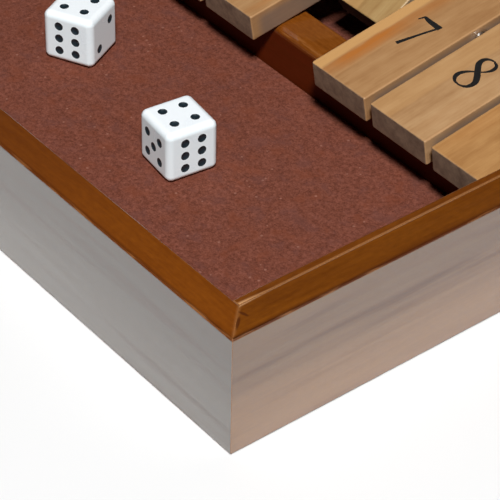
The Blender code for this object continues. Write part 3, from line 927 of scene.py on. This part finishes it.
# The numbers, drawn as pen strokes. Each stroke is a smooth run of places and pen widths,
# in thousandths of the number's height, from its lower left corner
NUMERAL_FULL_HEIGHT = 1000
NUMERAL_STROKES = {
    1: (
        ((315, -5, 115), (315, 985, 115)),
        ((345, 985, 30), (270, 930, 45), (165, 885, 30)),
        ((160, 12, 26), (475, 12, 26)),
        ((230, 20, 18), (290, 45, 60)),
        ((400, 20, 18), (340, 45, 60)),
    ),
    2: (
        (
            (60, 745, 30), (145, 900, 60), (300, 955, 85), (450, 880, 115), (485, 730, 120),
            (420, 540, 95), (270, 300, 70), (95, 80, 55),
        ),
        ((60, 52, 105), (545, 52, 105)),
        ((520, 30, 90), (585, 130, 50), (620, 220, 22)),
    ),
    3: (
        (
            (75, 790, 28), (165, 920, 60), (300, 960, 80), (435, 890, 105), (455, 750, 105),
            (370, 600, 60), (215, 525, 28),
        ),
        (
            (215, 525, 28), (380, 500, 60), (505, 390, 110), (515, 240, 120), (410, 85, 75),
            (240, 25, 45), (110, 60, 70), (60, 85, 50),
        ),
    ),
    4: (
        ((455, 0, 115), (455, 990, 115)),
        ((480, 965, 45), (250, 620, 45), (45, 300, 45)),
        ((25, 280, 95), (680, 280, 95)),
    ),
    5: (
        ((215, 925, 105), (570, 925, 105)),
        ((555, 890, 45), (620, 1010, 20)),
        ((215, 950, 35), (130, 720, 35), (85, 600, 35)),
        (
            (80, 590, 35), (250, 600, 75), (430, 520, 110), (520, 360, 125), (490, 190, 110),
            (370, 65, 65), (210, 20, 45), (100, 55, 70), (50, 80, 50),
        ),
    ),
    6: (
        (
            (640, 985, 26), (440, 900, 60), (230, 700, 100), (110, 440, 125), (130, 190, 115),
            (240, 50, 65), (350, 20, 40),
        ),
        (
            (340, 18, 40), (470, 70, 80), (545, 240, 120), (520, 440, 110), (420, 570, 70),
            (300, 575, 45), (140, 490, 30),
        ),
    ),
    7: (
        ((85, 945, 50), (150, 925, 85), (280, 908, 112), (440, 900, 124), (588, 897, 130)),
        ((95, 950, 55), (62, 870, 42), (30, 795, 28)),
        ((572, 945, 60), (430, 520, 58), (275, 0, 92)),
    ),
    8: (
        (
            (350, 972, 36), (230, 955, 55), (135, 870, 98), (150, 720, 125), (290, 560, 130),
            (440, 400, 135), (520, 260, 125), (490, 100, 85), (370, 30, 45), (280, 22, 40),
        ),
        (
            (320, 22, 38), (190, 45, 60), (95, 150, 95), (90, 280, 95), (180, 420, 60),
            (310, 530, 36), (430, 640, 50), (490, 780, 88), (450, 910, 70), (310, 974, 36),
        ),
    ),
}
NUMERAL_WIDTHS = {1: 630, 2: 640, 3: 590, 4: 700, 5: 620, 6: 660, 7: 600, 8: 610, 9: 660}
# The steps of a smooth stroke between two knots, how close its corners are merged, and half
# the thickness of its slab before that is brought to the ink's own
PEN_STEPS = 6
STROKE_MERGE_SHARE = 0.00001
SLAB_SHARE = 0.05


def turned_over(strokes, width):
    """The same strokes with the number turned half round, which makes a 9 of a 6."""
    return tuple(
        tuple((width - x, NUMERAL_FULL_HEIGHT - y, pen) for x, y, pen in stroke) for stroke in strokes
    )


NUMERAL_STROKES[9] = turned_over(NUMERAL_STROKES[6], NUMERAL_WIDTHS[6])


def smooth_run(knots):
    """Places along a smooth curve through the knots, in shares of the number's height."""
    points = [Vector([part / NUMERAL_FULL_HEIGHT for part in knot]) for knot in knots]
    if len(points) == 2:
        return points
    points = [2 * points[0] - points[1], *points, 2 * points[-1] - points[-2]]
    run = []
    for before, start, end, after in zip(points, points[1:], points[2:], points[3:]):
        for step in range(PEN_STEPS):
            t = step / PEN_STEPS
            pull = (end - before) * t
            bend = (2 * before - 5 * start + 4 * end - after) * t * t
            twist = (3 * start - before - 3 * end + after) * t * t * t
            run.append(start + (pull + bend + twist) / 2)
    run.append(points[-2])
    return run


def pen_stroke(name, knots):
    """A flat stroke of changing width, as a closed slab with its middle at zero height."""
    run = smooth_run(knots)
    left, right = [], []
    for place, point in enumerate(run):
        ahead = run[min(place + 1, len(run) - 1)]
        behind = run[max(place - 1, 0)]
        along = Vector((ahead.x - behind.x, ahead.y - behind.y)).normalized()
        aside = Vector((-along.y, along.x)) * point.z / 2
        left.append((point.x + aside.x, point.y + aside.y))
        right.append((point.x - aside.x, point.y - aside.y))
    bm = bmesh.new()
    for lefts, rights in zip(zip(left, left[1:]), zip(right, right[1:])):
        corners = (lefts[0], lefts[1], rights[1], rights[0])
        bm.faces.new([bm.verts.new((x, y, -SLAB_SHARE)) for x, y in corners])
    merge_doubles(bm, STROKE_MERGE_SHARE)
    bmesh.ops.translate(bm, verts=extrude_faces(bm), vec=(0, 0, 2 * SLAB_SHARE))
    bmesh.ops.recalc_face_normals(bm, faces=bm.faces[:])
    return new_object(name, mesh_from(name, bm))


def evaluated_mesh(piece):
    bpy.context.view_layer.update()
    graph = bpy.context.evaluated_depsgraph_get()
    return bpy.data.meshes.new_from_object(piece.evaluated_get(graph))


def drop(piece):
    mesh = piece.data
    bpy.data.objects.remove(piece, do_unlink=True)
    bpy.data.meshes.remove(mesh)


def numeral_mesh(number):
    """All strokes of one number, joined into one flat slab with its top at zero height."""
    strokes = [
        pen_stroke(f"stroke_{number}_{place}", knots)
        for place, knots in enumerate(NUMERAL_STROKES[number])
    ]
    whole = strokes[0]
    for other in strokes[1:]:
        union = whole.modifiers.new("joined_stroke", "BOOLEAN")
        union.operation = "UNION"
        union.solver = "EXACT"
        union.object = other
    mesh = evaluated_mesh(whole)
    for stroke in strokes:
        drop(stroke)
    thickness = INK_PROUD + INK_SUNK
    half_width = NUMERAL_WIDTHS[number] / NUMERAL_FULL_HEIGHT / 2
    mesh.transform(Matrix.Translation((-half_width, -0.5, -SLAB_SHARE)))
    mesh.transform(Matrix.Diagonal((NUMERAL_HEIGHT, NUMERAL_HEIGHT, thickness / (2 * SLAB_SHARE), 1)))
    return mesh


NUMBER_INK = (0.0090, 0.0085, 0.0085)
NUMBER_INK_ROUGHNESS = 0.5


def make_tiles():
    ink = painted_ink("number_ink", NUMBER_INK, NUMBER_INK_ROUGHNESS)
    for number in TILE_NUMBERS:
        body = f"number_tile_{number}"
        cad_node = f"tile_{number}"
        dressed(cad_node, f"wooden_{cad_node}", tile_wood(number), body)
        low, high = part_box(cad_node)
        mesh = numeral_mesh(number)
        on_tile = Vector((0, -NUMERAL_FROM_ROD, TILE_THICKNESS / 2 + INK_PROUD))
        hinge = Matrix.Translation(((low.x + high.x) / 2, ROD_CENTRE.y, ROD_CENTRE.z))
        tilt = Matrix.Rotation(tile_tilt(number), 4, "X")
        mesh.transform(hinge @ tilt @ Matrix.Translation(on_tile))
        add_piece(f"printed_number_{number}", mesh, ink, body)


# Where the pips lie, in shares of the die's size from a face's middle
WIDE_SHARE = 0.203
ROW_SHARE = 0.256
COLUMN_SHARE = 0.165
TWO_SHARES = [(-WIDE_SHARE, WIDE_SHARE), (WIDE_SHARE, -WIDE_SHARE)]
FOUR_SHARES = TWO_SHARES + [(-WIDE_SHARE, -WIDE_SHARE), (WIDE_SHARE, WIDE_SHARE)]
PIP_SHARES = {
    1: [(0, 0)],
    2: TWO_SHARES,
    3: [(0, 0)] + TWO_SHARES,
    4: FOUR_SHARES,
    5: [(0, 0)] + FOUR_SHARES,
    6: [(side * COLUMN_SHARE, row * ROW_SHARE) for side in (-1, 1) for row in (-1, 0, 1)],
}
# Three faces of each die: the value, the direction that it faces and the one that is up on
# it. Each face and the one opposite, which has the same way up, make up one sum
OPPOSITE_SUM = 7
RIGHT, AWAY, UP = Vector((1, 0, 0)), Vector((0, 1, 0)), Vector((0, 0, 1))
DIE_FACES = {
    "die_1": ((4, UP, AWAY), (5, -AWAY, UP), (6, RIGHT, UP)),
    "die_2": ((4, UP, AWAY), (6, -AWAY, UP), (2, RIGHT, AWAY)),
}

PIP_INK = (0.010, 0.018, 0.024)
PIP_INK_ROUGHNESS = 0.35
# The ball whose cap is a pip: as wide as its mouth and as deep as it is sunk
PIP_BALL_RADIUS = ((PIP_DIAMETER / 2) ** 2 + PIP_DEPTH**2) / (2 * PIP_DEPTH)
PIP_BALL_SEGMENTS, PIP_BALL_RINGS = 24, 20
DIE_EDGE_STEPS = 8


def pip_ball_tree():
    """Geometry nodes that set a ball on each point, turned as the point's attribute says."""
    tree = bpy.data.node_groups.new("pip_balls", "GeometryNodeTree")
    sockets = (
        ("Points", "INPUT", "NodeSocketGeometry"),
        ("Ball Radius", "INPUT", "NodeSocketFloat"),
        ("Ink", "INPUT", "NodeSocketMaterial"),
        ("Balls", "OUTPUT", "NodeSocketGeometry"),
    )
    for label, direction, kind in sockets:
        tree.interface.new_socket(label, in_out=direction, socket_type=kind)
    given = tree.nodes.new("NodeGroupInput").outputs
    inputs = {0: PIP_BALL_SEGMENTS, 1: PIP_BALL_RINGS, 2: given["Ball Radius"]}
    ball = node(tree, "GeometryNodeMeshUVSphere", inputs).outputs["Mesh"]
    lie = node(tree, "GeometryNodeInputNamedAttribute", {"Name": "lie"}, data_type="FLOAT_VECTOR")
    turned = node(tree, "FunctionNodeEulerToRotation", {0: lie.outputs["Attribute"]}).outputs[0]
    inputs = {"Points": given["Points"], "Instance": ball, "Rotation": turned}
    balls = node(tree, "GeometryNodeInstanceOnPoints", inputs).outputs[0]
    plain = node(tree, "GeometryNodeRealizeInstances", {0: balls}).outputs[0]
    inputs = {"Geometry": plain, "Material": given["Ink"]}
    inked = node(tree, "GeometryNodeSetMaterial", inputs).outputs[0]
    feed(tree, tree.nodes.new("NodeGroupOutput"), {0: inked})
    return tree


def pip_balls(faces, tree, ink):
    """The balls that sink the pips into a die. What they cut takes the ink."""
    centres, lies = [], []
    opposite = [(OPPOSITE_SUM - value, -out, up) for value, out, up in faces]
    for value, out, up in (*faces, *opposite):
        across = up.cross(out)
        lie = Matrix((across, up, out)).transposed().to_euler()
        for across_share, up_share in PIP_SHARES[value]:
            centre = out * (DIE_SIZE / 2 + PIP_BALL_RADIUS - PIP_DEPTH)
            centres.append(centre + (across * across_share + up * up_share) * DIE_SIZE)
            lies.extend(lie)
    points = bpy.data.meshes.new("pips")
    points.from_pydata(centres, [], [])
    points.attributes.new("lie", "FLOAT_VECTOR", "POINT").data.foreach_set("vector", lies)
    piece = new_object("pips", points)
    placed = piece.modifiers.new("pip_balls", "NODES")
    placed.node_group = tree
    for label, value in (("Ball Radius", PIP_BALL_RADIUS), ("Ink", ink)):
        placed[tree.interface.items_tree[label].identifier] = value
    return piece


def sunk_pips(cube, balls):
    """The cube with rounded edges, and with the balls cut out of it."""
    bevel = cube.modifiers.new("round_edges", "BEVEL")
    bevel.width = DIE_EDGE_RADIUS
    bevel.segments = DIE_EDGE_STEPS
    cut = cube.modifiers.new("pips", "BOOLEAN")
    cut.operation = "DIFFERENCE"
    cut.solver = "EXACT"
    cut.material_mode = "TRANSFER"
    cut.object = balls
    mesh = evaluated_mesh(cube)
    drop(cube)
    drop(balls)
    return mesh


def make_dice():
    resin = dice_resin()
    ink = painted_ink("pip_ink", PIP_INK, PIP_INK_ROUGHNESS)
    tree = pip_ball_tree()
    for cad_node, turn in DIE_TURNS.items():
        low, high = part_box(cad_node)
        bm = bmesh.new()
        bmesh.ops.create_cube(bm, size=DIE_SIZE)
        cube = new_object("cube", mesh_from(cad_node, bm))
        cube.data.materials.append(resin)
        mesh = sunk_pips(cube, pip_balls(DIE_FACES[cad_node], tree, ink))
        mesh.transform(Matrix.Translation((low + high) / 2) @ Matrix.Rotation(turn, 4, "Z"))
        shade_round_parts(mesh)
        body = DIE_BODIES[cad_node]
        die = add_piece(f"resin_{cad_node}", mesh, None, body, (cad_node,))
        even_normals(die)


# The stage, the light and the camera

FLOOR_REACH = 6.0
FLOOR_DROP = 0.15 * MM
FLOOR_WHITE = (0.845, 0.845, 0.845)
# To the eye the floor is a little lighter than it is lit, and more so between these distances
FLOOR_LIFT = 0.02
FLOOR_FAR_LIFT = 0.75
FLOOR_FAR_FROM = 0.45
FLOOR_FAR_TO = 2.5


def white_to_the_eye(tree):
    """1 for rays from the camera, and for what gloss and glass mirror."""
    ray = node(tree, "ShaderNodeLightPath").outputs
    seen = maths(tree, "ADD", ray["Is Camera Ray"], ray["Is Glossy Ray"])
    return maths(tree, "ADD", seen, ray["Is Transmission Ray"], clamp=True)


def make_floor():
    """A plain white floor, which keeps the object's shadow and stays white far off."""
    bm = bmesh.new()
    bmesh.ops.create_grid(bm, x_segments=1, y_segments=1, size=FLOOR_REACH)
    floor = new_object("floor", mesh_from("floor", bm))
    floor.location.z = -FLOOR_DROP
    material, tree, shader = new_material("white_floor")
    distance = vector_maths(tree, "LENGTH", object_place(tree), result="Value")
    far = step_between(tree, distance, FLOOR_FAR_FROM, FLOOR_FAR_TO)
    lift = times_plus(tree, far, FLOOR_FAR_LIFT, FLOOR_LIFT)
    finish = {
        "Base Color": opaque(FLOOR_WHITE),
        "Roughness": 1.0,
        "Specular IOR Level": 0.0,
        "Emission Color": opaque((1.0, 1.0, 1.0)),
        "Emission Strength": times(tree, white_to_the_eye(tree), lift),
    }
    feed(tree, shader, finish)
    floor.data.materials.append(material)


# The studio's own dim light, and the heights between which the white backdrop fades to it
SKY_DIM = 0.012
SKY_WHITE_BELOW = 0.06
SKY_DIM_ABOVE = 0.16


def make_world():
    """A dim studio, with a white backdrop near the ground."""
    world = bpy.data.worlds.new("studio")
    world.use_nodes = True
    tree = world.node_tree
    direction = node(tree, "ShaderNodeTexCoord").outputs["Generated"]
    backdrop = step_between(tree, parts_of(tree, direction)[2], SKY_DIM_ABOVE, SKY_WHITE_BELOW)
    white = times(tree, white_to_the_eye(tree), backdrop)
    strength = times_plus(tree, white, 1.0 - SKY_DIM, SKY_DIM)
    feed(tree, tree.nodes["Background"], {"Color": opaque((1.0, 1.0, 1.0)), "Strength": strength})
    bpy.context.scene.world = world


# Each soft lamp: the direction that it stands in, its distance, its size and its power
LAMPS = {
    "key_lamp": (Vector((0.60, -0.445, 1.0)), 3.0, 0.42, 112.5),
    "left_reflector": (Vector((-0.90, 0.40, 0.22)), 3.0, 1.3, 1.0),
}


def make_lamps():
    """A key lamp high on the front right, and a pale reflector low on the left."""
    for name, (direction, distance, size, power) in LAMPS.items():
        lamp = bpy.data.lights.new(name, "AREA")
        lamp.shape = "DISK"
        lamp.size = size
        lamp.energy = power
        stand = new_object(name, lamp)
        towards = direction.normalized()
        stand.location = towards * distance
        stand.rotation_euler = towards.to_track_quat("Z", "Y").to_euler()


# The camera, fitted to the photograph's straight edges. Its frame is 500 pixels square
FRAME_PIXELS = 500
FOCAL_PIXELS = 2547.9
CAMERA_PLACE = Vector((0.4800, -0.36545, 0.4285))
CAMERA_AZIMUTH = math.radians(50.94)
CAMERA_ELEVATION = math.radians(38.71)
CAMERA_ROLL = math.radians(1.19)
CAMERA_SENSOR = 36.0
NEAREST_SEEN, FARTHEST_SEEN = 0.01, 30.0


def make_camera():
    data = bpy.data.cameras.new("camera")
    data.sensor_width = CAMERA_SENSOR
    data.lens = CAMERA_SENSOR * FOCAL_PIXELS / FRAME_PIXELS
    data.clip_start = NEAREST_SEEN
    data.clip_end = FARTHEST_SEEN
    sine, cosine = math.sin(CAMERA_AZIMUTH), math.cos(CAMERA_AZIMUTH)
    out, rise = math.cos(CAMERA_ELEVATION), math.sin(CAMERA_ELEVATION)
    back = Vector((sine * out, -cosine * out, rise))
    level = Vector((cosine, sine, 0.0))
    upward = back.cross(level)
    across = math.cos(CAMERA_ROLL) * level + math.sin(CAMERA_ROLL) * upward
    up = back.cross(across)
    turned = Matrix((across, up, back)).transposed()
    camera = new_object("camera", data)
    camera.matrix_world = Matrix.Translation(CAMERA_PLACE) @ turned.to_4x4()
    bpy.context.scene.camera = camera


def main():
    make_camera()
    make_tray()
    make_felts()
    make_steel()
    make_tiles()
    make_dice()
    make_floor()
    make_world()
    make_lamps()
    bpy.context.scene.view_settings.view_transform = "Standard"


main()
